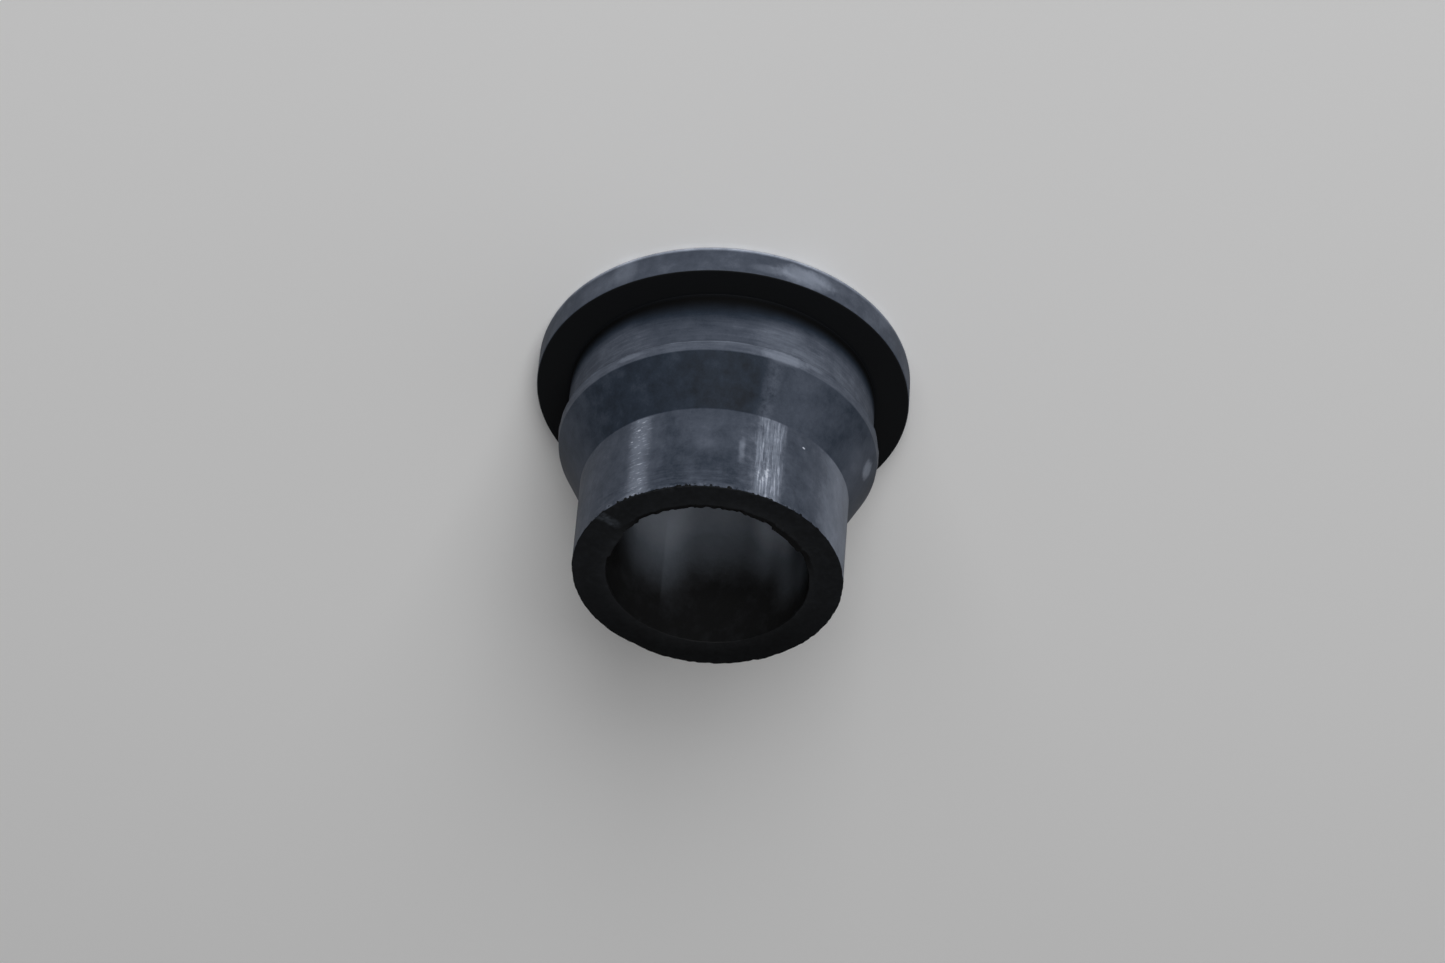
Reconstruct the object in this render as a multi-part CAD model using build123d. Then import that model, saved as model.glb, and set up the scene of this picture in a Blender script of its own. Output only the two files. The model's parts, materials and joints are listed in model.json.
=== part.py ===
from build123d import *
import os

# Rubber sleeve: one moulding, turned about the axis of its bore.
# It stands on the outer face of its flange, at Z = 0, with its nose up.
# All sizes are in millimetres.

# Bore, which holds the tube or cable that passes through
bore_diameter = 15.0
bore_entry_bevel = 0.4

# Nose, the plain tube that ends in the cut face
nose_length = 7.8
nose_wall = 2.5
nose_draft = 0.05

# Lead-in cone and barb, which are pushed through the panel's hole
cone_length = 4.0
land_length = 0.9
land_draft = 0.1
barb_height = 0.5

# Neck, the groove that the panel's edge sits in
neck_length = 5.0
neck_wall = 4.1

# Flange, which bears on the face of the panel
flange_thickness = 2.4
flange_lip = 2.6
flange_outer_edge_radius = 0.2
flange_panel_edge_radius = 0.15

# Radii of the steps, from the bore outwards
bore_radius = bore_diameter / 2
nose_tip_radius = bore_radius + nose_wall
nose_root_radius = nose_tip_radius + nose_draft
neck_radius = bore_radius + neck_wall
barb_radius = neck_radius + barb_height
land_front_radius = barb_radius - land_draft
flange_radius = neck_radius + flange_lip

# Heights of the steps, from the flange's outer face upwards
neck_start = flange_thickness
barb_start = neck_start + neck_length
cone_start = barb_start + land_length
nose_start = cone_start + cone_length
nose_end = nose_start + nose_length

# Corners of the section, as distance from the axis and height
bore_entry = (bore_radius, 0)
flange_outer_edge = (flange_radius, 0)
flange_panel_edge = (flange_radius, neck_start)
neck_root = (neck_radius, neck_start)
groove_corner = (neck_radius, barb_start)
barb_edge = (barb_radius, barb_start)
land_front = (land_front_radius, cone_start)
nose_root = (nose_root_radius, nose_start)
nose_outer_edge = (nose_tip_radius, nose_end)
nose_mouth = (bore_radius, nose_end)

# Corners of the rim that the mould leaves round, each with its radius.
# The barb and the groove seal on crisp corners, and the cut end of the nose is sharp.
rounded_corners = [
    (flange_outer_edge, flange_outer_edge_radius),
    (flange_panel_edge, flange_panel_edge_radius),
]


def corner_vertex(section, corner):
    """The section's vertex that lies at this corner."""
    return section.vertices().sort_by_distance(corner)[0]


def sleeve_section():
    """The wall's section on one side of the axis, with its rim rounded and its bore's entry bevelled."""
    section = make_face(Polyline(
        bore_entry,
        flange_outer_edge,
        flange_panel_edge,
        neck_root,
        groove_corner,
        barb_edge,
        land_front,
        nose_root,
        nose_outer_edge,
        nose_mouth,
        close=True,
    ))
    for corner, radius in rounded_corners:
        section = fillet(corner_vertex(section, corner), radius)
    return chamfer(corner_vertex(section, bore_entry), bore_entry_bevel)


def sleeve():
    """The section stood upright and carried once round the bore's axis."""
    return revolve(Plane.XZ * sleeve_section(), Axis.Z, 360)


os.makedirs("parts", exist_ok=True)
export_step(sleeve(), "parts/sleeve.step")
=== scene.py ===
import json
import math

import bpy
import numpy as np
from mathutils import Matrix, Vector


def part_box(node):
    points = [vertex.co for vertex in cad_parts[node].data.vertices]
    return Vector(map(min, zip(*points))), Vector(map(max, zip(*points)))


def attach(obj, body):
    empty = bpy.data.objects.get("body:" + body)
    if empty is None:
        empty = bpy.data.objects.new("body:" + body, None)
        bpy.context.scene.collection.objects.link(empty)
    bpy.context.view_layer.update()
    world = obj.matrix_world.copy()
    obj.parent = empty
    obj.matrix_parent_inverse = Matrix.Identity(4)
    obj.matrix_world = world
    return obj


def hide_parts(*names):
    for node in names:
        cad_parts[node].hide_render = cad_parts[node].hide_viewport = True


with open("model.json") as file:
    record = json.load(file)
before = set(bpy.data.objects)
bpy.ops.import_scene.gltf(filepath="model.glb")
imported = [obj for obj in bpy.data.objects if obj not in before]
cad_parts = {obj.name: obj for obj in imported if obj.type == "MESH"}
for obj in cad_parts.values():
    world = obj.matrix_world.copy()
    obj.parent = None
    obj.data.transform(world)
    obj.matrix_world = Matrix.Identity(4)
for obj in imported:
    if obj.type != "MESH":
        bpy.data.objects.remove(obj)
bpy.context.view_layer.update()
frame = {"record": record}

bl_info = {
    "name": "Rubber Sleeve",
    "version": (1, 0, 0),
    "blender": (4, 5, 0),
    "location": "3D View > Sidebar > Sleeve",
    "description": "Dresses a moulded rubber sleeve and sets the stage that it is shown on",
    "category": "Object",
}

MM = 0.001

# The frame's own sizes: its box before anything is added, the sleeve's upper corner and its bore
SLEEVE_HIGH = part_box("sleeve")[1]
BORE_MOUNT = next(m for m in frame["record"]["mounts"] if m["name"] == "bore")

# The photograph's frame, in pixels
PHOTO_WIDTH = 1445
PHOTO_HEIGHT = 963


class SleeveShape(bpy.types.PropertyGroup):
    """Sizes of the moulding, from the flange's outer face upwards, and of its wear."""

    bore_radius: bpy.props.FloatProperty(
        name="Bore Radius", description="Radius of the through bore",
        default=BORE_MOUNT["dims"]["r_mm"] * MM, unit="LENGTH")
    bore_bevel: bpy.props.FloatProperty(
        name="Bore Bevel", description="Bevel round the bore in the flange's outer face",
        default=0.4 * MM, unit="LENGTH")
    nose_tip_radius: bpy.props.FloatProperty(
        name="Nose Tip Radius", description="Outer radius at the cut end of the nose",
        default=10.0 * MM, unit="LENGTH")
    nose_root_radius: bpy.props.FloatProperty(
        name="Nose Root Radius", description="Outer radius where the nose meets the cone",
        default=10.05 * MM, unit="LENGTH")
    nose_length: bpy.props.FloatProperty(
        name="Nose Length", description="Length of the nose, from the cone to its cut end",
        default=7.8 * MM, unit="LENGTH")
    land_front_radius: bpy.props.FloatProperty(
        name="Land Front Radius", description="Radius of the barb where its cone starts",
        default=12.0 * MM, unit="LENGTH")
    land_length: bpy.props.FloatProperty(
        name="Land Length", description="Length of the barb's nearly straight land",
        default=0.9 * MM, unit="LENGTH")
    barb_radius: bpy.props.FloatProperty(
        name="Barb Radius", description="Largest radius of the barb, at the groove",
        default=12.1 * MM, unit="LENGTH")
    neck_radius: bpy.props.FloatProperty(
        name="Neck Radius", description="Radius of the groove between the barb and the flange",
        default=11.6 * MM, unit="LENGTH")
    neck_length: bpy.props.FloatProperty(
        name="Neck Length", description="Width of the groove between the barb and the flange",
        default=5.0 * MM, unit="LENGTH")
    flange_radius: bpy.props.FloatProperty(
        name="Flange Radius", description="Outer radius of the flange",
        default=SLEEVE_HIGH.x, unit="LENGTH")
    flange_thickness: bpy.props.FloatProperty(
        name="Flange Thickness", description="Thickness of the flange",
        default=2.4 * MM, unit="LENGTH")
    height: bpy.props.FloatProperty(
        name="Height", description="Whole length, from the flange's outer face to the cut end",
        default=SLEEVE_HIGH.z, unit="LENGTH")
    trim: bpy.props.FloatProperty(
        name="Trim", description="How far the middle of the cut end stands short of the whole length",
        default=0.15 * MM, unit="LENGTH")
    cut_lean: bpy.props.FloatProperty(
        name="Cut Lean", description="How far the knife's cut is out of square",
        default=math.radians(1.64), subtype="ANGLE")
    cut_low_azimuth: bpy.props.FloatProperty(
        name="Cut Low Azimuth", description="Azimuth of the side where the cut is lowest",
        default=math.radians(18.0), subtype="ANGLE")
    cut_roughness: bpy.props.FloatProperty(
        name="Cut Roughness", description="How far the knife left the end of the nose uneven",
        default=0.05 * MM, unit="LENGTH")
    tear_depth: bpy.props.FloatProperty(
        name="Tear Depth", description="How far the torn edge of the bore's mouth wanders",
        default=0.12 * MM, unit="LENGTH")
    lip_drop: bpy.props.FloatProperty(
        name="Lip Drop", description="How far the torn lip of the bore's mouth falls away below the cut",
        default=0.07 * MM, unit="LENGTH")
    tip_flat: bpy.props.FloatProperty(
        name="Tip Flat", description="Depth of the small flat on the edge of the nose's tip",
        default=0.13 * MM, unit="LENGTH")
    flash: bpy.props.FloatProperty(
        name="Flash", description="How far the flash on the barb's edge wanders",
        default=0.025 * MM, unit="LENGTH")
    turns: bpy.props.IntProperty(
        name="Turn Steps", description="How many steps the surface takes round the axis",
        default=440)


class RubberLook(bpy.types.PropertyGroup):
    """Colours of the rubber, from bare black to the pale bloom on its surface. Some of them also paint
    highlights and shade, and the light in the bore.
    """

    bloom: bpy.props.FloatVectorProperty(
        name="Bloom", description="Blue-grey bloom on the moulded outside",
        default=(0.056, 0.066, 0.088), subtype="COLOR", size=3)
    # Pale bloom also colours the painted highlights of the streaks along the nose
    pale_bloom_and_highlight: bpy.props.FloatVectorProperty(
        name="Pale Bloom", description="Thick or rubbed bloom, on worn streaks and edges",
        default=(0.188, 0.212, 0.262), subtype="COLOR", size=3)
    # This also colours the brightest painted highlights, on the nose's streaks and on the front of the rim's
    # outer edge
    rubbed_and_highlight: bpy.props.FloatVectorProperty(
        name="Rubbed", description="Rubber scratched or rubbed almost white",
        default=(0.40, 0.43, 0.50), subtype="COLOR", size=3)
    # Thin bloom also paints the cone's shade: the cone is kept darker than the rest, as if it faced away from
    # the light
    thin_bloom_and_shade: bpy.props.FloatVectorProperty(
        name="Thin Bloom", description="Thin bloom, on the cone",
        default=(0.016, 0.0225, 0.034), subtype="COLOR", size=3)
    # Bare black also paints shade: at the neck's root, on the flange's panel face, on the torn lip and in the
    # bore near its mouth
    bare_and_shade: bpy.props.FloatVectorProperty(
        name="Bare Rubber", description="Black rubber with no bloom, in the bore and on its torn lip",
        default=(0.0024, 0.0025, 0.0027), subtype="COLOR", size=3)
    fresh_cut: bpy.props.FloatVectorProperty(
        name="Fresh Cut", description="Dull black rubber where the knife went through, on the cut end",
        default=(0.0082, 0.0089, 0.0101), subtype="COLOR", size=3)
    # Painted light: the bore's wall gets this grey, growing paler with depth as if light fell in. It also
    # colours pale flecks on the cut end
    inner_bloom_and_light: bpy.props.FloatVectorProperty(
        name="Inner Bloom", description="Greyer bloom on the wall of the bore",
        default=(0.058, 0.066, 0.079), subtype="COLOR", size=3)
    # Painted light: the pale grey deep in the bore, where the wall is painted as if lit from within
    deep_bore_light: bpy.props.FloatVectorProperty(
        name="Pale Inner Bloom", description="Thick bloom deep in the bore",
        default=(0.178, 0.196, 0.228), subtype="COLOR", size=3)
    roughness: bpy.props.FloatProperty(
        name="Roughness", description="Roughness of the bloomed surface",
        default=0.62, min=0.0, max=1.0, subtype="FACTOR")


class StageLook(bpy.types.PropertyGroup):
    """The camera, the lamps and the floor."""

    focal_pixels: bpy.props.FloatProperty(
        name="Focal Length", description="The camera's focal length in pixels of the photograph",
        default=4200.0, subtype="PIXEL")
    camera_elevation: bpy.props.FloatProperty(
        name="Camera Elevation", description="Angle of the camera above the flange's face",
        default=math.radians(40.132), subtype="ANGLE")
    camera_roll: bpy.props.FloatProperty(
        name="Camera Roll", description="Turn of the picture, which points the nose down in it",
        default=math.radians(184.83), subtype="ANGLE")
    camera_depth: bpy.props.FloatProperty(
        name="Camera Depth", description="Distance to the nose's end, along the camera's axis",
        default=308.54 * MM, unit="LENGTH")
    nose_pixel_x: bpy.props.FloatProperty(
        name="Nose Pixel X", description="Where the centre of the nose's end is in the photograph, across",
        default=707.19, subtype="PIXEL")
    nose_pixel_y: bpy.props.FloatProperty(
        name="Nose Pixel Y", description="Where the centre of the nose's end is in the photograph, down",
        default=576.96, subtype="PIXEL")
    lamp_distance: bpy.props.FloatProperty(
        name="Lamp Distance", description="Distance of the soft lamps from the sleeve",
        default=1.2, unit="LENGTH")
    floor_size: bpy.props.FloatProperty(
        name="Floor Size", description="Width of the square floor",
        default=6.0, unit="LENGTH")
    floor_colour: bpy.props.FloatVectorProperty(
        name="Floor Colour", description="Colour of the plain floor",
        default=(0.905, 0.905, 0.905), subtype="COLOR", size=3)
    sky_strength: bpy.props.FloatProperty(
        name="Sky Strength", description="Strength of the even light near the horizon",
        default=0.18, min=0.0)
    backdrop_strength: bpy.props.FloatProperty(
        name="Backdrop Strength", description="How pale the backdrop is where the camera sees it",
        default=0.62, min=0.0)
    zenith_strength: bpy.props.FloatProperty(
        name="Zenith Strength", description="Strength of the even light from overhead",
        default=0.05, min=0.0)


# Section of the moulding

def section_corners(shape):
    """The corners of the wall's section, each as a name, its distance from the axis, its height, the radius
    of its edge and how many steps the surface takes from it to the next corner."""
    flange_top = shape.flange_thickness
    barb = flange_top + shape.neck_length
    cone = barb + shape.land_length
    tip = shape.height - shape.trim
    nose = shape.height - shape.nose_length
    return [
        ("entry", shape.bore_radius + shape.bore_bevel, 0.0, 0.08 * MM, 12),
        ("rim_outer", shape.flange_radius, 0.0, 0.2 * MM, 10),
        ("rim_panel", shape.flange_radius, flange_top, 0.15 * MM, 12),
        ("neck_root", shape.neck_radius, flange_top, 0.02 * MM, 18),
        ("groove", shape.neck_radius, barb, 0.08 * MM, 3),
        ("barb_edge", shape.barb_radius, barb, 0.1 * MM, 6),
        ("land_front", shape.land_front_radius, cone, 0.25 * MM, 16),
        ("nose_root", shape.nose_root_radius, nose, 0.15 * MM, 30),
        ("nose_edge", shape.nose_tip_radius, tip, 0.07 * MM, 18),
        ("mouth", shape.bore_radius, tip, 0.05 * MM, 44),
        ("bore_bevel", shape.bore_radius, shape.bore_bevel, 0.08 * MM, 3),
    ]


def direction(start, end):
    """The unit vector from one point to another."""
    return (end - start) / np.linalg.norm(end - start)


def half_angle(one, other):
    """Half the angle between two unit vectors: arccos of their product, over 2."""
    return math.acos(float(np.clip(one @ other, -1.0, 1.0))) / 2


def rounded_section(corners, arc_steps=4):
    """The closed section with each corner carried round an arc that is tangent to its two sides, so that the
    arc starts radius / tan(half the corner's angle) before the corner. Straight runs get points on a cosine
    spacing, closer at their ends, so that shading stays crisp there. Returns the points, the length along
    the section to each, and that length at each named corner."""
    count = len(corners)
    spots = [np.array([radius, height]) for _, radius, height, _, _ in corners]
    before = [direction(spots[i], spots[i - 1]) for i in range(count)]
    after = [direction(spots[i], spots[(i + 1) % count]) for i in range(count)]
    halves = [half_angle(before[i], after[i]) for i in range(count)]
    points = []
    marks = {}
    for i, (name, _, _, edge, steps) in enumerate(corners):
        middle = direction(-before[i], after[i])
        across = direction(before[i], after[i])
        centre = spots[i] + middle * edge / math.sin(halves[i])
        turn = np.linspace(-1.0, 1.0, arc_steps + 1)[:, None] * (math.pi / 2 - halves[i])
        marks[name] = len(points) + arc_steps // 2
        points.extend(centre - middle * edge * np.cos(turn) + across * edge * np.sin(turn))
        following = (i + 1) % count
        start = spots[i] + after[i] * edge / math.tan(halves[i])
        end = spots[following] + before[following] * corners[following][3] / math.tan(halves[following])
        share = 0.5 - 0.5 * np.cos(np.linspace(0.0, math.pi, steps + 1)[1:-1])
        points.extend(start + (end - start) * share[:, None])
    points = np.array(points)
    lengths = np.concatenate([[0.0], np.cumsum(np.linalg.norm(np.diff(points, axis=0), axis=1))])
    return points, lengths, {name: float(lengths[i]) for name, i in marks.items()}


# Uneven edges. Angles round the sleeve are azimuths: 0 faces -Y, where the camera is, and 90 faces +X.

def ring_noise(angles, lowest, highest, seed):
    """A wandering line round the axis: cosines of whole turn counts from lowest to highest, at random
    phases and falling strengths, scaled to a spread of one."""
    random = np.random.default_rng(seed)
    counts = np.arange(lowest, highest + 1)
    strengths = random.uniform(0.4, 1.0, len(counts)) / np.sqrt(counts)
    phases = random.uniform(0.0, 2 * np.pi, len(counts))
    waves = strengths[:, None] * np.cos(counts[:, None] * angles[None, :] + phases[:, None])
    line = waves.sum(0)
    return line / line.std()


def smooth_share(away, reach):
    """A smooth fall from 1 at no distance to 0 at reach: s * s * (3 - 2 s), where s = 1 - away / reach."""
    share = np.clip(1.0 - away / reach, 0.0, 1.0)
    return share * share * (3.0 - 2.0 * share)


def degrees_from(azimuths, centre):
    """How many degrees each azimuth is away from the centre one, the shorter way round."""
    return np.abs((azimuths - centre + 180.0) % 360.0 - 180.0)


def bump_at(azimuths, centre, half_width):
    """A smooth hump round the axis, 1 at its centre azimuth and 0 from half_width degrees away."""
    return smooth_share(degrees_from(azimuths, centre), half_width)


def step_between(azimuths, start, end, softness=1.5):
    """A plateau of height 1 from the start azimuth to the end one, with short ramps of softness degrees."""
    away = degrees_from(azimuths, (start + end) / 2)
    return np.clip(((end - start) / 2 - away) / softness + 0.5, 0.0, 1.0)


# Torn stretches of the bore's mouth: (from azimuth, to azimuth, how far the edge stands back, in
# millimetres)
MOUTH_TEARS = [
    (8.0, 33.0, 0.08),
    (33.0, 44.0, 0.22),
    (60.0, 80.0, -0.18),
    (-17.0, -10.0, 0.09),
    (-60.0, -36.0, -0.20),
    (-67.0, -60.0, 0.08),
]

# How far along the section each kind of wear reaches from its edge
TEAR_REACH = 0.9 * MM
LIP_REACH = 0.55 * MM
NICK_REACH = 0.35 * MM
NICK_RISE_REACH = 0.5 * MM
FLAT_REACH = 2.6 * MM
FLASH_REACH = 0.2 * MM

# Azimuths of the middle of the torn lip and of the flat on the nose's tip
LIP_AZIMUTH = -12.0
FLAT_AZIMUTH = 147.0


def sleeve_surface(shape):
    """The section carried round the axis: point(section, angle) = (radius cos, radius sin, height), with the
    radius and height moved near the cut end by the tears of the mouth, the nicks of the outer edge and the
    waves that the knife left. Each move fades with the distance along the section from its edge. The cut
    leans: its height falls by radius * cos(azimuth from its low side) * tan(lean)."""
    section, lengths, marks = rounded_section(section_corners(shape))
    angles = np.linspace(0.0, 2 * np.pi, shape.turns, endpoint=False)
    around = np.arctan2(np.cos(angles), -np.sin(angles))
    azimuths = np.degrees(around)
    radius = np.repeat(section[:, :1], shape.turns, axis=1)
    height = np.repeat(section[:, 1:], shape.turns, axis=1)
    along = lengths[:, None]

    def near(mark, reach):
        """Share from 1 on a corner to 0 at reach away from it along the section."""
        return smooth_share(np.abs(along - marks[mark]), reach)

    torn = sum(depth * MM * step_between(azimuths, start, end) for start, end, depth in MOUTH_TEARS)
    ragged = shape.tear_depth * ring_noise(around, 9, 70, seed=3)
    ragged = ragged * (0.25 + 0.75 * bump_at(azimuths, 0.0, 75.0))
    radius += near("mouth", TEAR_REACH) * (torn + 0.35 * ragged)[None, :]
    lip = shape.lip_drop * bump_at(azimuths, LIP_AZIMUTH, 75.0)
    lip = lip * (1.0 + 0.3 * ring_noise(around, 6, 40, seed=9))
    height -= near("mouth", LIP_REACH) * (0.5 * np.abs(ragged) + np.abs(lip))[None, :]

    nicks = shape.cut_roughness * ring_noise(around, 12, 110, seed=5)
    nicks = nicks * (0.35 + 0.65 * bump_at(azimuths, 0.0, 100.0))
    flat = shape.tip_flat * bump_at(azimuths, FLAT_AZIMUTH, 14.0)
    radius += near("nose_edge", NICK_REACH) * (0.6 * nicks)[None, :]
    radius -= near("nose_edge", FLAT_REACH) * flat[None, :]
    height += near("nose_edge", NICK_RISE_REACH) * (0.8 * nicks)[None, :]

    on_cut = (along > marks["nose_edge"]) & (along < marks["mouth"])
    wave = shape.cut_roughness * ring_noise(around, 2, 7, seed=7)
    height += on_cut * 0.5 * wave[None, :]

    flash = shape.flash * ring_noise(around, 4, 60, seed=11)
    radius += near("barb_edge", FLASH_REACH) * flash[None, :]

    up_nose = np.clip((along - marks["nose_root"]) / (marks["nose_edge"] - marks["nose_root"]), 0.0, 1.0)
    up_bore = np.clip((marks["bore_bevel"] - along) / (marks["bore_bevel"] - marks["mouth"]), 0.0, 1.0)
    towards_low = np.cos(around - shape.cut_low_azimuth)[None, :]
    height -= up_nose * up_bore * radius * towards_low * math.tan(shape.cut_lean)

    grid = np.stack([radius * np.cos(angles), radius * np.sin(angles), height], axis=-1)
    return grid, np.broadcast_to(along, radius.shape), marks


def closed_grid_mesh(name, grid):
    """A mesh of quads over a grid that closes on itself both ways. Its faces are turned outwards by the sign
    of its volume, the sum over its triangles of a . (b x c) / 6."""
    rings, turns = grid.shape[:2]
    index = np.arange(rings * turns).reshape(rings, turns)
    ahead = np.roll(index, -1, axis=0)
    quads = np.stack([index, np.roll(index, -1, axis=1), np.roll(ahead, -1, axis=1), ahead], axis=-1)
    quads = quads.reshape(-1, 4)
    points = grid.reshape(-1, 3)
    a, b, c, d = (points[quads[:, k]] for k in range(4))
    volume = sum(np.einsum("ij,ij->i", a, np.cross(p, q)).sum() for p, q in ((b, c), (c, d))) / 6
    if volume < 0:
        quads = quads[:, ::-1]
    mesh = bpy.data.meshes.new(name)
    mesh.vertices.add(len(points))
    mesh.vertices.foreach_set("co", points.ravel().astype(np.float32))
    mesh.loops.add(quads.size)
    mesh.loops.foreach_set("vertex_index", quads.ravel().astype(np.int32))
    mesh.polygons.add(len(quads))
    mesh.polygons.foreach_set("loop_start", np.arange(0, quads.size, 4, dtype=np.int32))
    mesh.polygons.foreach_set("use_smooth", np.ones(len(quads), dtype=bool))
    mesh.update(calc_edges=True)
    mesh.validate()
    return mesh


def linked_object(name, mesh):
    """A new object at the origin that holds the mesh."""
    piece = bpy.data.objects.new(name, mesh)
    bpy.context.scene.collection.objects.link(piece)
    return piece


# Shader maths

def fill_ramp(elements, stops):
    """Gives a colour ramp its stops. It starts with two elements, so the rest are added."""
    for place, _ in stops[2:]:
        elements.new(place)
    for element, (place, colour) in zip(elements, stops):
        element.position = place
        element.color = (*colour, 1.0)


class Wire:
    """A node socket that can be used in a Python expression. Numbers alone are worked out in Python."""

    def __init__(self, tree, socket):
        self.tree = tree
        self.socket = socket

    def node(self, kind, settings=None, inputs=None, output=0):
        """Adds a node of this type, makes its settings first, then its socket values or links, and
        returns one of its outputs. Settings named stops are the (place, colour) pairs of a colour ramp."""
        made = self.tree.nodes.new(kind)
        for key, value in (settings or {}).items():
            if key == "stops":
                fill_ramp(made.color_ramp.elements, value)
            else:
                setattr(made, key, value)
        for key, value in (inputs or {}).items():
            if isinstance(value, Wire):
                self.tree.links.new(value.socket, made.inputs[key])
            else:
                made.inputs[key].default_value = value
        return Wire(self.tree, made.outputs[output])

    def math(self, operation, *values):
        return self.node("ShaderNodeMath", {"operation": operation}, dict(enumerate(values)))

    def __add__(self, other):
        return self.math("ADD", self, other)

    def __radd__(self, other):
        return self.math("ADD", other, self)

    def __sub__(self, other):
        return self.math("SUBTRACT", self, other)

    def __rsub__(self, other):
        return self.math("SUBTRACT", other, self)

    def __mul__(self, other):
        return self.math("MULTIPLY", self, other)

    def __rmul__(self, other):
        return self.math("MULTIPLY", other, self)

    def __truediv__(self, other):
        return self.math("DIVIDE", self, other)

    def __pow__(self, other):
        return self.math("POWER", self, other)

    def at_least(self, other):
        return self.math("MAXIMUM", self, other)

    def at_most(self, other):
        return self.math("MINIMUM", self, other)

    def distance_to(self, other):
        return self.math("ABSOLUTE", self - other)

    def ramp(self, low, high, start=0.0, end=1.0):
        """A smooth step of this value: start at low and below, end at high and above."""
        return self.node(
            "ShaderNodeMapRange", {"interpolation_type": "SMOOTHSTEP"},
            {"Value": self, "From Min": low, "From Max": high, "To Min": start, "To Max": end})

    def scaled(self, x, y, z):
        """A vector with each of its parts multiplied."""
        return self.node("ShaderNodeVectorMath", {"operation": "MULTIPLY"}, {0: self, 1: (x, y, z)})

    def noise(self, scale, detail=3.0, roughness=0.55, distortion=0.0):
        """Noise over this vector, around one half."""
        return self.node(
            "ShaderNodeTexNoise", {"noise_dimensions": "3D"},
            {"Vector": self, "Scale": scale, "Detail": detail, "Roughness": roughness,
             "Distortion": distortion}, "Fac")

    def mixed(self, other, share):
        """This colour, with a share of the other one in its place."""
        sockets = {0: share, 6: self, 7: other}
        return self.node("ShaderNodeMix", {"data_type": "RGBA"}, sockets, 2)

    def parts(self):
        """The three numbers of this vector."""
        split = self.node("ShaderNodeSeparateXYZ", {}, {0: self})
        return [Wire(self.tree, output) for output in split.socket.node.outputs]

    def coloured(self, *stops):
        """A colour that follows this value through (value, colour) stops, from 0 to the last stop's value."""
        highest = stops[-1][0]
        shares = [(value / highest, colour) for value, colour in stops]
        return self.node("ShaderNodeValToRGB", {"stops": shares}, {"Fac": self / highest})


def new_material(name):
    """An empty material with a Principled shader. Returns it, its shader and its Object coordinates."""
    material = bpy.data.materials.new(name)
    material.use_nodes = True
    tree = material.node_tree
    coordinates = Wire(tree, None).node("ShaderNodeTexCoord", output="Object")
    return material, tree.nodes["Principled BSDF"], coordinates


def feed(shader, **sockets):
    """Links wires to the shader's sockets. A socket's name has _ for a space."""
    for name, wire in sockets.items():
        wire.tree.links.new(wire.socket, shader.inputs[name.replace("_", " ")])


# Rubber. The bloom is measured by a number: 0 is bare rubber and 1 is thick, pale bloom. Painted light and
# shade are laid into the same number: higher where light fell, lower where shade fell.

# Millimetres round the nose for one degree
NOSE_ARC = 0.175

# The squared distance, in a patch's half sizes, at which the patch is gone
PATCH_FADE = 1.4

# Broad sides of painted light and shade, where a zone's colour is painted lighter or darker by how light fell
# on it: azimuth, how many degrees from it the side is full, at how many it is gone, and strength
PAINTED_LIGHT_SIDES = {
    "nose": [
        (33.0, 3.0, 13.0, 0.09),
        (-73.0, 8.0, 32.0, 0.37),
        (78.0, 10.0, 32.0, 0.10),
        (22.0, 3.0, 10.0, -0.05),
    ],
    "cone": [
        (-34.0, 6.0, 28.0, 0.20),
        (92.0, 10.0, 50.0, 0.26),
        (-88.0, 12.0, 45.0, 0.24),
    ],
    "neck": [
        (-32.0, 15.0, 45.0, 0.07),
        (-66.0, 8.0, 30.0, 0.08),
        (52.0, 12.0, 40.0, 0.07),
    ],
    "rim": [
        (-62.0, 10.0, 32.0, 0.08),
    ],
}

# Pale marks on the rubber, some of them painted highlights on the barb's land and the neck in line with the
# nose's streaks: azimuth in degrees, height in mm, half width in degrees, half height in mm and strength
PALE_MARKS_AND_HIGHLIGHTS = [
    # Painted highlights on the barb's land and the neck, in line with the nose's streaks
    (-21.0, 7.9, 9.0, 0.55, 0.30),
    (-33.0, 7.5, 5.0, 0.4, 0.16),
    (35.5, 7.8, 6.0, 0.22, 0.20),
    (-20.0, 5.6, 12.0, 1.5, 0.10),
    (-30.0, 6.8, 10.0, 0.8, 0.10),
    # Pale marks on the cone, the nose and the flange's rim
    (-82.0, 9.7, 5.0, 0.7, 0.46),
    (-71.0, 10.6, 7.0, 0.9, 0.10),
    (-38.4, 13.5, 0.8, 0.09, 1.2),
    (35.6, 13.4, 0.9, 0.09, 0.6),
    (38.8, 14.3, 0.8, 0.07, 0.6),
    (5.6, 15.6, 5.0, 0.6, 0.10),
    (34.2, 1.2, 4.5, 1.4, 0.16),
    (44.0, 1.6, 9.0, 1.0, 0.07),
    (-12.0, 1.7, 7.0, 0.45, 0.16),
    (-22.0, 1.5, 10.0, 1.0, 0.40),
    (-30.0, 1.0, 9.0, 0.7, 0.12),
]


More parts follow.
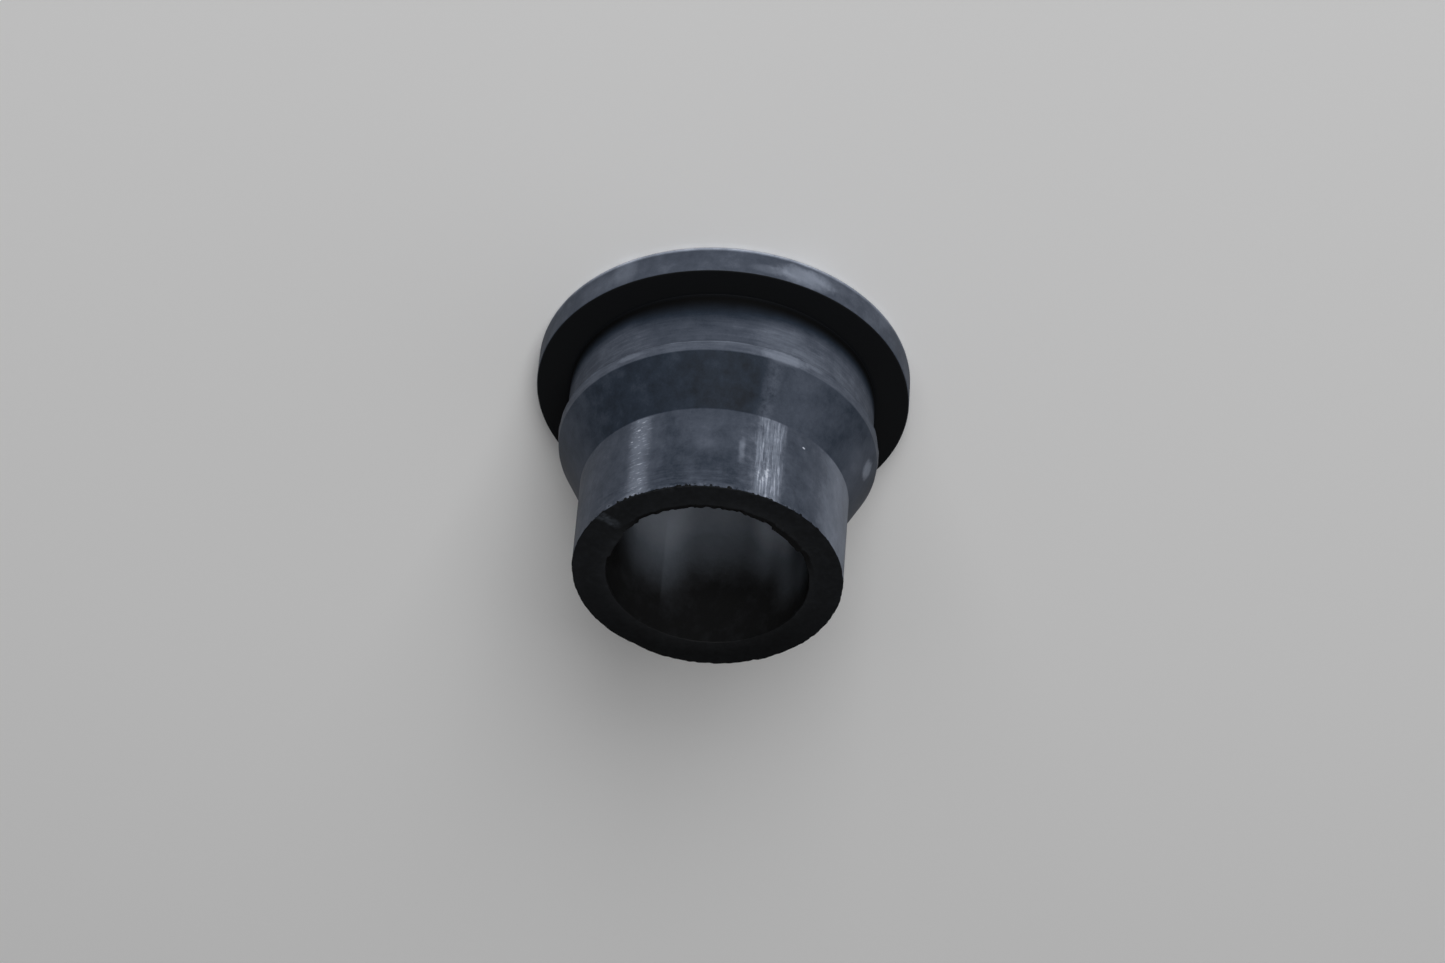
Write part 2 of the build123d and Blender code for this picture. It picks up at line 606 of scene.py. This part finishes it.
class Skin:
    """What the rubber is painted by: the place on the sleeve, patterns over it and masks of its zones.
    Lengths are in millimetres and angles in degrees. A mask is 1 on its zone and 0 off it."""

    def __init__(self, place, marks):
        self.spot = place.scaled(1 / MM, 1 / MM, 1 / MM)
        x, y, self.height = self.spot.parts()
        self.azimuth = x.math("ARCTAN2", x, 0.0 - y) * math.degrees(1.0)
        self.along = x.node("ShaderNodeAttribute", {"attribute_name": "along"}, output="Fac") / MM
        self.mark = {name: length / MM for name, length in marks.items()}
        self.depth = self.along - self.mark["mouth"]
        self.lay_patterns()
        self.lay_scratches()
        self.lay_zones()

    def lay_patterns(self):
        """Cloudy noise at four sizes, noise drawn out round the moulding and along it, and what frays the
        outline of a patch."""
        self.clouds = self.spot.noise(0.22, 3.0) - 0.5
        self.blotches = self.spot.noise(0.75, 4.0, 0.62) - 0.5
        self.flecks = self.spot.noise(2.6, 3.0, 0.6) - 0.5
        self.grain = self.spot.noise(7.0, 3.0, 0.6) - 0.5
        self.rings = self.spot.scaled(0.10, 0.10, 1.0).noise(4.5, 4.0, 0.6) - 0.5
        self.fall = self.spot.scaled(1.0, 1.0, 0.09).noise(2.2, 3.0, 0.6) - 0.5
        self.ragged = 1.9 * (self.blotches + 0.6 * self.flecks)

    def lay_scratches(self):
        """The two streaks along the nose, painted highlights of the lamps that the scratches and ticks lie
        in. On the nose unrolled flat, the long scratches, the gaps between them and the short ticks across
        it."""
        # Painted highlights: the two streaks where the lamps shine along the nose
        self.left_highlight_streak = self.facing(34.5, 1.0, 7.0)
        self.right_highlight_streak = self.facing(-22.3, 3.5, 8.2)
        flat = {"X": self.azimuth * NOSE_ARC, "Y": self.height}
        unrolled = self.spot.node("ShaderNodeCombineXYZ", {}, flat)
        scratches = unrolled.scaled(1.0, 0.09, 1.0).noise(4.6, 3.0, 0.6, 0.25)
        self.lines = scratches.ramp(0.50, 0.64)
        self.gaps = scratches.ramp(0.36, 0.46, 1.0, 0.0)
        self.ticks = unrolled.scaled(1.1, 4.2, 1.0).noise(1.5, 2.0, 0.5, 0.2).ramp(0.56, 0.70)

    def lay_zones(self):
        """Masks of the zones between the section's corners. The nose's edge is chipped. The flange's shade on
        the neck's root is painted: the neck's bloom starts only some way past its root, later on the side of
        azimuth 8, so the root stays bare black."""
        shade = 2.4 + 1.1 * self.facing(8.0, 12.0, 36.0)
        chips = self.spot.noise(2.4, 3.0, 0.7).ramp(0.5, 0.66) * self.facing(8.0, 45.0, 75.0)
        edge = self.mark["nose_edge"]
        below_edge = (self.along + 0.24 * chips).ramp(edge - 0.05, edge - 0.01, 1.0, 0.0)
        self.on_back = self.until("rim_outer", -0.1, 0.1)
        self.on_rim = self.between("rim_outer", "rim_panel", 0.1, 0.03)
        self.on_panel = self.between("rim_panel", "neck_root", 0.03, 0.4)
        # Painted shade: the neck's bloom starts 0.4 mm past its root and grows until shade mm past it, so the
        # root is painted bare black as the flange's shadow
        self.on_neck = self.past("neck_root", 0.4, shade) * self.until("groove", -0.1, 0.1)
        self.on_land = self.between("barb_edge", "land_front", 0.12, 0.08)
        self.on_cone = self.between("land_front", "nose_root", 0.08, 0.08)
        self.on_nose = self.past("nose_root", -0.08, 0.08) * below_edge
        self.on_cut = self.between("nose_edge", "mouth", 0.03, 0.05)
        self.in_bore = self.past("mouth", 0.0, 0.05)
        shaded_root = self.past("rim_panel", -0.03, 0.03) * self.until("neck_root", 0.4, 1.8)
        self.outside = (1.0 - shaded_root) * below_edge

    def past(self, corner, low, high):
        """0 up to low mm past a corner of the section, and 1 from high mm past it."""
        return self.along.ramp(self.mark[corner] + low, self.mark[corner] + high)

    def until(self, corner, low, high):
        """1 up to low mm past a corner of the section, and 0 from high mm past it."""
        return self.along.ramp(self.mark[corner] + low, self.mark[corner] + high, 1.0, 0.0)

    def between(self, start, end, soft_start, soft_end):
        """1 from the start corner to the end one, with soft edges in mm."""
        return self.past(start, -soft_start, soft_start) * self.until(end, -soft_end, soft_end)

    def near(self, corner, inner, outer):
        """1 up to inner mm from a corner and 0 from outer mm."""
        return self.along.distance_to(self.mark[corner]).ramp(inner, outer, 1.0, 0.0)

    def degrees_from(self, centre):
        """How many degrees the place is away from an azimuth, the shorter way round."""
        turned = self.azimuth.math("WRAP", self.azimuth - centre, 180.0, -180.0)
        return turned.math("ABSOLUTE", turned)

    def facing(self, centre, inner, outer):
        """1 within inner degrees of an azimuth and 0 from outer degrees."""
        return self.degrees_from(centre).ramp(inner, outer, 1.0, 0.0)

    def patch(self, centre, level, half_width, half_height):
        """1 at an azimuth and height, fading to 0 a little past the half sizes, with a frayed outline."""
        across = self.degrees_from(centre) / half_width
        upwards = (self.height - level) / half_height
        return (across ** 2.0 + upwards ** 2.0 + self.ragged).ramp(0.0, PATCH_FADE, 1.0, 0.0)

    def mottled(self, level, **strengths):
        """A level of bloom with patterns added to it, each named with its strength."""
        for pattern, strength in strengths.items():
            level = level + strength * getattr(self, pattern)
        return level

    def with_painted_sides(self, bloom, zone):
        """A zone's bloom with its broad sides of painted light and shade added."""
        for centre, inner, outer, strength in PAINTED_LIGHT_SIDES[zone]:
            bloom = bloom + strength * self.facing(centre, inner, outer)
        return bloom


def nose_bloom_and_light(skin):
    """Bloom on the nose with painted light: cloudy, with broad sides of painted light and shade, two streaks
    along it that are painted highlights with scratches and ticks in them, a scuff, a short bright scratch,
    rings below the cut end and flecks on its edge."""
    height = skin.height
    bloom = skin.mottled(0.42, clouds=0.18, blotches=0.40, flecks=0.16, fall=0.08)
    bloom = skin.with_painted_sides(bloom, "nose")
    # Painted highlights: the two streaks where the lamps shine along the nose, with scratches and ticks in
    # them
    bloom = bloom + skin.left_highlight_streak * (0.22 + 0.45 * skin.ticks)
    bloom = bloom + skin.right_highlight_streak * (0.27 + 0.40 * skin.lines - 0.16 * skin.gaps)
    # A painted highlight beside the right streak, flecked
    bloom = bloom + skin.facing(-19.0, 4.0, 15.0) * (0.07 + 0.3 * skin.flecks)
    bloom = bloom + 0.35 * skin.patch(-20.0, 17.7, 4.5, 1.2) * skin.flecks.ramp(-0.02, 0.12)
    scratch = skin.facing(-10.0, 0.3, 2.0) * height.ramp(14.4, 15.4) * height.ramp(16.4, 17.4, 1.0, 0.0)
    bloom = bloom + 0.26 * scratch
    bloom = bloom + 0.5 * skin.rings * skin.facing(22.0, 25.0, 45.0) * skin.near("nose_edge", 0.5, 3.0)
    bloom = bloom - 0.06 * skin.facing(5.0, 10.0, 24.0) * height.ramp(15.0, 17.5)
    on_edge = skin.near("nose_edge", 0.08, 0.45) * skin.facing(10.0, 30.0, 70.0)
    return bloom + on_edge * (0.05 + 0.9 * skin.flecks)


def cone_bloom_and_shade(skin):
    """Painted shade on the cone: thin bloom, darker than the rest as shade, lighter on its sides as painted
    light, with a flecked painted highlight in line with the right streak.
    """
    # Painted shade: the cone's low level makes it darker than the rest. Its sides and a highlight in line
    # with the right streak are painted light
    bloom = skin.mottled(0.18, blotches=0.34, clouds=0.24, fall=0.08, flecks=0.06)
    bloom = skin.with_painted_sides(bloom, "cone")
    return (bloom + skin.facing(-18.5, 0.5, 5.0) * (0.11 + 0.40 * skin.flecks)).at_least(0.10)


def land_bloom(skin):
    """Bloom on the barb's land, paler along its edge on the front."""
    bloom = skin.mottled(0.53, blotches=0.25, rings=0.3)
    return bloom + 0.18 * skin.near("barb_edge", 0.04, 0.2) * skin.facing(3.0, 12.0, 24.0)


def neck_bloom_and_light(skin):
    """Bloom on the neck, in rings round it, with broad sides of painted light."""
    return skin.with_painted_sides(skin.mottled(0.43, rings=0.28, blotches=0.36, clouds=0.26), "neck")


def rim_bloom_and_light(skin):
    """Cloudy bloom on the flange's rim, with a side of painted light, pale along its outer edge all round and
    paler on the front as a painted highlight of the rounded edge.
    """
    bloom = skin.with_painted_sides(skin.mottled(0.46, blotches=0.38, clouds=0.34, flecks=0.10), "rim")
    # Pale along the outer edge all round, and paler on the front as a painted highlight of the rounded edge
    rubbed_and_highlight = 0.36 + 0.40 * skin.facing(5.0, 25.0, 60.0) + 0.6 * skin.blotches
    return bloom + skin.near("rim_outer", 0.12, 0.42) * rubbed_and_highlight


def cut_bloom_and_lip_shade(skin):
    """Nearly no bloom on the cut end, with pale flecks at azimuth 54.5. The torn lip is painted bare black as
    shade.
    """
    bloom = skin.mottled(0.085, blotches=0.05, flecks=0.07) - 0.055 * skin.facing(180.0, 30.0, 90.0)
    to_mouth = 0.35 * skin.flecks - skin.depth
    # Painted shade: the torn lip is kept bare black
    lip_shade = to_mouth.ramp(0.34, 0.52, 1.0, 0.0) * skin.facing(LIP_AZIMUTH, 52.0, 75.0)
    pale_flecks = (0.16 + 0.6 * skin.flecks).at_least(0.0)
    flecked = skin.facing(54.5, 1.0, 3.5) * skin.near("nose_edge", 1.2, 2.1)
    return bloom * (1.0 - lip_shade) + flecked * pale_flecks


def bore_painted_light(skin):
    """Painted light in the bore: bare black as shade at the mouth and paler with depth, as if lit from
    within, soonest on two lit sides, with a grey band nearer the mouth and a painted highlight streak that is
    sharp on one side."""
    depth = skin.depth
    # Painted light: the two lit sides of the bore, where its wall turns pale sooner
    lit_side = (skin.facing(149.0, 3.0, 27.0) + 0.6 * skin.facing(132.0, 3.0, 17.0)).at_most(1.0)
    far_lit_side = skin.facing(-137.0, 5.0, 22.0)
    start = 4.4 - 1.6 * lit_side - 0.9 * far_lit_side
    bloom = (0.78 + 0.24 * lit_side + 0.58 * far_lit_side) * depth.ramp(start, start + 9.5)
    bloom = bloom + 0.07 * skin.facing(134.0, 8.0, 28.0) * depth.ramp(1.0, 6.0)
    band = 0.34 * skin.facing(-114.0, 10.0, 28.0) + 0.24 * skin.facing(-102.0, 8.0, 18.0)
    bloom = skin.mottled(bloom + band * depth.ramp(0.5, 5.0), blotches=0.12, flecks=0.06)
    # A painted highlight streak along the bore, sharp on one side
    streak_highlight = skin.azimuth.ramp(152.0, 154.0) * skin.azimuth.ramp(155.0, 174.0, 1.0, 0.0)
    return (bloom + 0.08 * streak_highlight * depth.ramp(1.5, 4.5)).at_least(0.0)


def bloom_and_painted_light(skin):
    """The bloom all over the sleeve, with the light and shade painted into it: each zone's own, then the pale
    marks and painted highlights, and a fine grain.
    """
    bloom_and_light = (
        skin.on_nose * nose_bloom_and_light(skin)
        + skin.on_cone * cone_bloom_and_shade(skin)
        + skin.on_land * land_bloom(skin)
        + skin.on_neck * neck_bloom_and_light(skin)
        + skin.on_rim * rim_bloom_and_light(skin)
        + skin.on_back * skin.mottled(0.5, blotches=0.3)
        + skin.on_cut * cut_bloom_and_lip_shade(skin)
        # The flange's panel face is painted nearly black as shade
        + skin.on_panel * 0.055
        + skin.in_bore * bore_painted_light(skin))
    for centre, level, half_width, half_height, strength in PALE_MARKS_AND_HIGHLIGHTS:
        bloom_and_light = bloom_and_light + skin.outside * strength * skin.patch(centre, level, half_width, half_height)
    return bloom_and_light + 0.10 * skin.grain * skin.outside


def rubber_material(look, marks):
    """Black rubber under a blue-grey bloom, with painted light and shade laid in with the bloom; together
    they give the colour. The flange's panel face, painted nearly black as shade, the cut end and the bore,
    painted paler with depth as light, have their own, blacker and greyer colours. Thick bloom is a little
    smoother, and the patterns raise the surface slightly."""
    material, shader, place = new_material("bloomed_rubber")
    skin = Skin(place, marks)
    bloom_and_light = bloom_and_painted_light(skin)
    outer = bloom_and_light.coloured(
        (0.0, look.bare_and_shade), (0.22, look.thin_bloom_and_shade), (0.495, look.bloom), (1.0, look.pale_bloom_and_highlight),
        (1.4, look.rubbed_and_highlight))
    inner = bloom_and_light.coloured(
        (0.0, look.bare_and_shade), (0.08, look.fresh_cut), (0.495, look.inner_bloom_and_light), (1.0, look.deep_bore_light))
    inner_share = skin.on_panel.at_least(skin.past("nose_edge", -0.03, 0.03))
    rough = look.roughness + 0.2 * skin.blotches - 0.12 * bloom_and_light + 0.1 * skin.on_cut
    rough = rough + 0.25 * skin.past("mouth", 0.0, 0.3)
    relief = (
        0.35 * skin.grain
        + 0.3 * skin.flecks
        + 0.3 * skin.lines * skin.right_highlight_streak * skin.on_nose
        + 0.5 * skin.rings * (skin.on_neck + skin.on_nose)
        + skin.on_cut * (1.6 * skin.blotches + 1.2 * skin.flecks))
    heights = {"Strength": 0.4, "Distance": 0.06 * MM, "Height": relief}
    bump = relief.node("ShaderNodeBump", {}, heights, "Normal")
    feed(shader, Base_Color=outer.mixed(inner, inner_share), Roughness=rough, Normal=bump)
    shader.inputs["Specular IOR Level"].default_value = 0.08
    return material


class SLEEVE_OT_moulding(bpy.types.Operator):
    """Makes the sleeve's moulding and gives it its rubber"""

    bl_idname = "sleeve.moulding"
    bl_label = "Make Moulding"

    def execute(self, context):
        shape = context.scene.sleeve_shape
        grid, along, marks = sleeve_surface(shape)
        mesh = closed_grid_mesh("sleeve_moulding", grid)
        lengths = mesh.attributes.new("along", "FLOAT", "POINT")
        lengths.data.foreach_set("value", along.ravel().astype(np.float32))
        moulding = linked_object("sleeve_moulding", mesh)
        mesh.materials.append(rubber_material(context.scene.rubber_look, marks))
        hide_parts("sleeve")
        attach(moulding, "root")
        return {"FINISHED"}


# Stage

def floor_material(look):
    """A plain pale matt floor, faintly cloudy."""
    material, shader, place = new_material("pale_floor")
    tone = tuple(look.floor_colour)
    deeper = tuple(0.985 * part for part in tone)
    feed(shader, Base_Color=place.noise(6.0, 3.0).coloured((0.3, deeper), (0.7, tone)))
    shader.inputs["Roughness"].default_value = 0.75
    shader.inputs["Specular IOR Level"].default_value = 0.2
    return material


def add_floor(look):
    """A flat square floor under the sleeve."""
    half = look.floor_size / 2
    floor_mesh = bpy.data.meshes.new("floor")
    corners = [(-half, -half, 0.0), (half, -half, 0.0), (half, half, 0.0), (-half, half, 0.0)]
    floor_mesh.from_pydata(corners, [], [(0, 1, 2, 3)])
    floor = linked_object("floor", floor_mesh)
    floor_mesh.materials.append(floor_material(look))


def camera_axes(look):
    """The camera's right, up and forward directions: level at azimuth 0, raised by the elevation and then
    rolled about its own axis."""
    rise = look.camera_elevation
    roll = look.camera_roll
    forward = Vector((0.0, math.cos(rise), -math.sin(rise)))
    level_right = Vector((1.0, 0.0, 0.0))
    level_up = Vector((0.0, math.sin(rise), math.cos(rise)))
    right = math.cos(roll) * level_right + math.sin(roll) * level_up
    up = math.cos(roll) * level_up - math.sin(roll) * level_right
    return right, up, forward


def add_camera(look, nose_end):
    """The camera that puts the centre of the nose's end on its pixel of the photograph."""
    right, up, forward = camera_axes(look)
    across = (look.nose_pixel_x - PHOTO_WIDTH / 2) / look.focal_pixels * look.camera_depth
    down = (look.nose_pixel_y - PHOTO_HEIGHT / 2) / look.focal_pixels * look.camera_depth
    place = nose_end - across * right + down * up - look.camera_depth * forward
    lens = bpy.data.cameras.new("camera")
    lens.sensor_width = 36.0
    lens.lens = look.focal_pixels / PHOTO_WIDTH * lens.sensor_width
    lens.clip_start = 0.01
    camera = bpy.data.objects.new("camera", lens)
    turn = Matrix((right, up, -forward)).transposed().to_4x4()
    camera.matrix_world = Matrix.Translation(place) @ turn
    bpy.context.scene.collection.objects.link(camera)
    bpy.context.scene.camera = camera


def hang_lamp(light, azimuth, elevation, distance, target):
    """Hangs a light at an azimuth, elevation and distance from the target, facing it. The level direction of
    an azimuth is (sin, -cos)."""
    side = math.radians(azimuth)
    rise = math.radians(elevation)
    away = Vector((math.sin(side) * math.cos(rise), -math.cos(side) * math.cos(rise), math.sin(rise)))
    lamp = bpy.data.objects.new(light.name, light)
    lamp.matrix_world = (Matrix.Translation(target + away * distance)
                         @ away.to_track_quat("Z", "Y").to_matrix().to_4x4())
    bpy.context.scene.collection.objects.link(lamp)


def soft_light(name, size, power):
    """A square area light."""
    light = bpy.data.lights.new(name, "AREA")
    light.shape = "SQUARE"
    light.size = size
    light.energy = power
    return light


def narrow_light(name, width, distance, power):
    """A spot light whose soft-edged beam has this width at its distance."""
    light = bpy.data.lights.new(name, "SPOT")
    light.spot_size = 2 * math.atan(width / 2 / distance)
    light.spot_blend = 0.4
    light.shadow_soft_size = 0.0005
    light.energy = power
    return light


# Soft lamps: (name, azimuth, elevation, size in metres, watts)
LAMPS = [
    ("key_lamp", -10.0, 27.0, 0.6, 7.1),
    ("second_lamp", 12.0, 28.0, 0.6, 2.8),
    ("low_lamp", -4.0, 22.0, 0.4, 3.3),
    ("high_lamp", -14.0, 48.0, 0.6, 1.4),
    ("side_lamp", -88.0, 50.0, 1.5, 0.95),
]

# The narrow lamp that shines into the bore: its angles in degrees, its distance in metres, the width of its
# beam in bore radii, and watts
BORE_LAMP_AZIMUTH = -14.0
BORE_LAMP_ELEVATION = 64.0
BORE_LAMP_DISTANCE = 0.5
BORE_LAMP_BEAM = 2.2
BORE_LAMP_POWER = 4.8


def hang_lamps(look, shape, nose_end):
    """Hangs the soft lamps round the middle of the sleeve and the narrow one over its bore."""
    target = Vector((0.0, 0.0, SLEEVE_HIGH.z / 2))
    for name, azimuth, elevation, size, power in LAMPS:
        hang_lamp(soft_light(name, size, power), azimuth, elevation, look.lamp_distance, target)
    beam_width = BORE_LAMP_BEAM * shape.bore_radius
    beam = narrow_light("bore_lamp", beam_width, BORE_LAMP_DISTANCE, BORE_LAMP_POWER)
    hang_lamp(beam, BORE_LAMP_AZIMUTH, BORE_LAMP_ELEVATION, BORE_LAMP_DISTANCE, nose_end)


def sky_light(tree, look):
    """The world's strength: it falls from the horizon to the zenith, and the camera sees a pale backdrop."""
    sight = Wire(tree, None).node("ShaderNodeTexCoord", output="Generated")
    seen = sight.node("ShaderNodeLightPath", output="Is Camera Ray")
    light = sight.parts()[2].ramp(0.1, 0.6, look.sky_strength, look.zenith_strength)
    return light + seen * (look.backdrop_strength - light)


def add_sky(scene, look):
    """A white world of the sky's strength."""
    world = bpy.data.worlds.new("studio")
    scene.world = world
    world.use_nodes = True
    backdrop = world.node_tree.nodes["Background"]
    backdrop.inputs["Color"].default_value = (1.0, 1.0, 1.0, 1.0)
    feed(backdrop, Strength=sky_light(world.node_tree, look))


class SLEEVE_OT_stage(bpy.types.Operator):
    """Makes the floor, the lamps, the camera and the sky"""

    bl_idname = "sleeve.stage"
    bl_label = "Make Stage"

    def execute(self, context):
        look = context.scene.stage_look
        shape = context.scene.sleeve_shape
        nose_end = Vector((0.0, 0.0, shape.height - shape.trim))
        add_floor(look)
        hang_lamps(look, shape, nose_end)
        add_camera(look, nose_end)
        add_sky(context.scene, look)
        context.scene.view_settings.view_transform = "Standard"
        return {"FINISHED"}


class SLEEVE_PT_panel(bpy.types.Panel):
    """Lists the operators of the sleeve"""

    bl_idname = "SLEEVE_PT_panel"
    bl_label = "Rubber Sleeve"
    bl_space_type = "VIEW_3D"
    bl_region_type = "UI"
    bl_category = "Sleeve"

    def draw(self, context):
        for operator in OPERATORS:
            self.layout.operator(operator.bl_idname)


GROUPS = {"sleeve_shape": SleeveShape, "rubber_look": RubberLook, "stage_look": StageLook}
OPERATORS = [SLEEVE_OT_stage, SLEEVE_OT_moulding]
CLASSES = [*GROUPS.values(), *OPERATORS, SLEEVE_PT_panel]


def register():
    for made in CLASSES:
        bpy.utils.register_class(made)
    for name, group in GROUPS.items():
        setattr(bpy.types.Scene, name, bpy.props.PointerProperty(type=group))


def unregister():
    for name in GROUPS:
        delattr(bpy.types.Scene, name)
    for made in reversed(CLASSES):
        bpy.utils.unregister_class(made)


def main():
    register()
    bpy.ops.sleeve.stage()
    bpy.ops.sleeve.moulding()


if __name__ == "__main__":
    main()
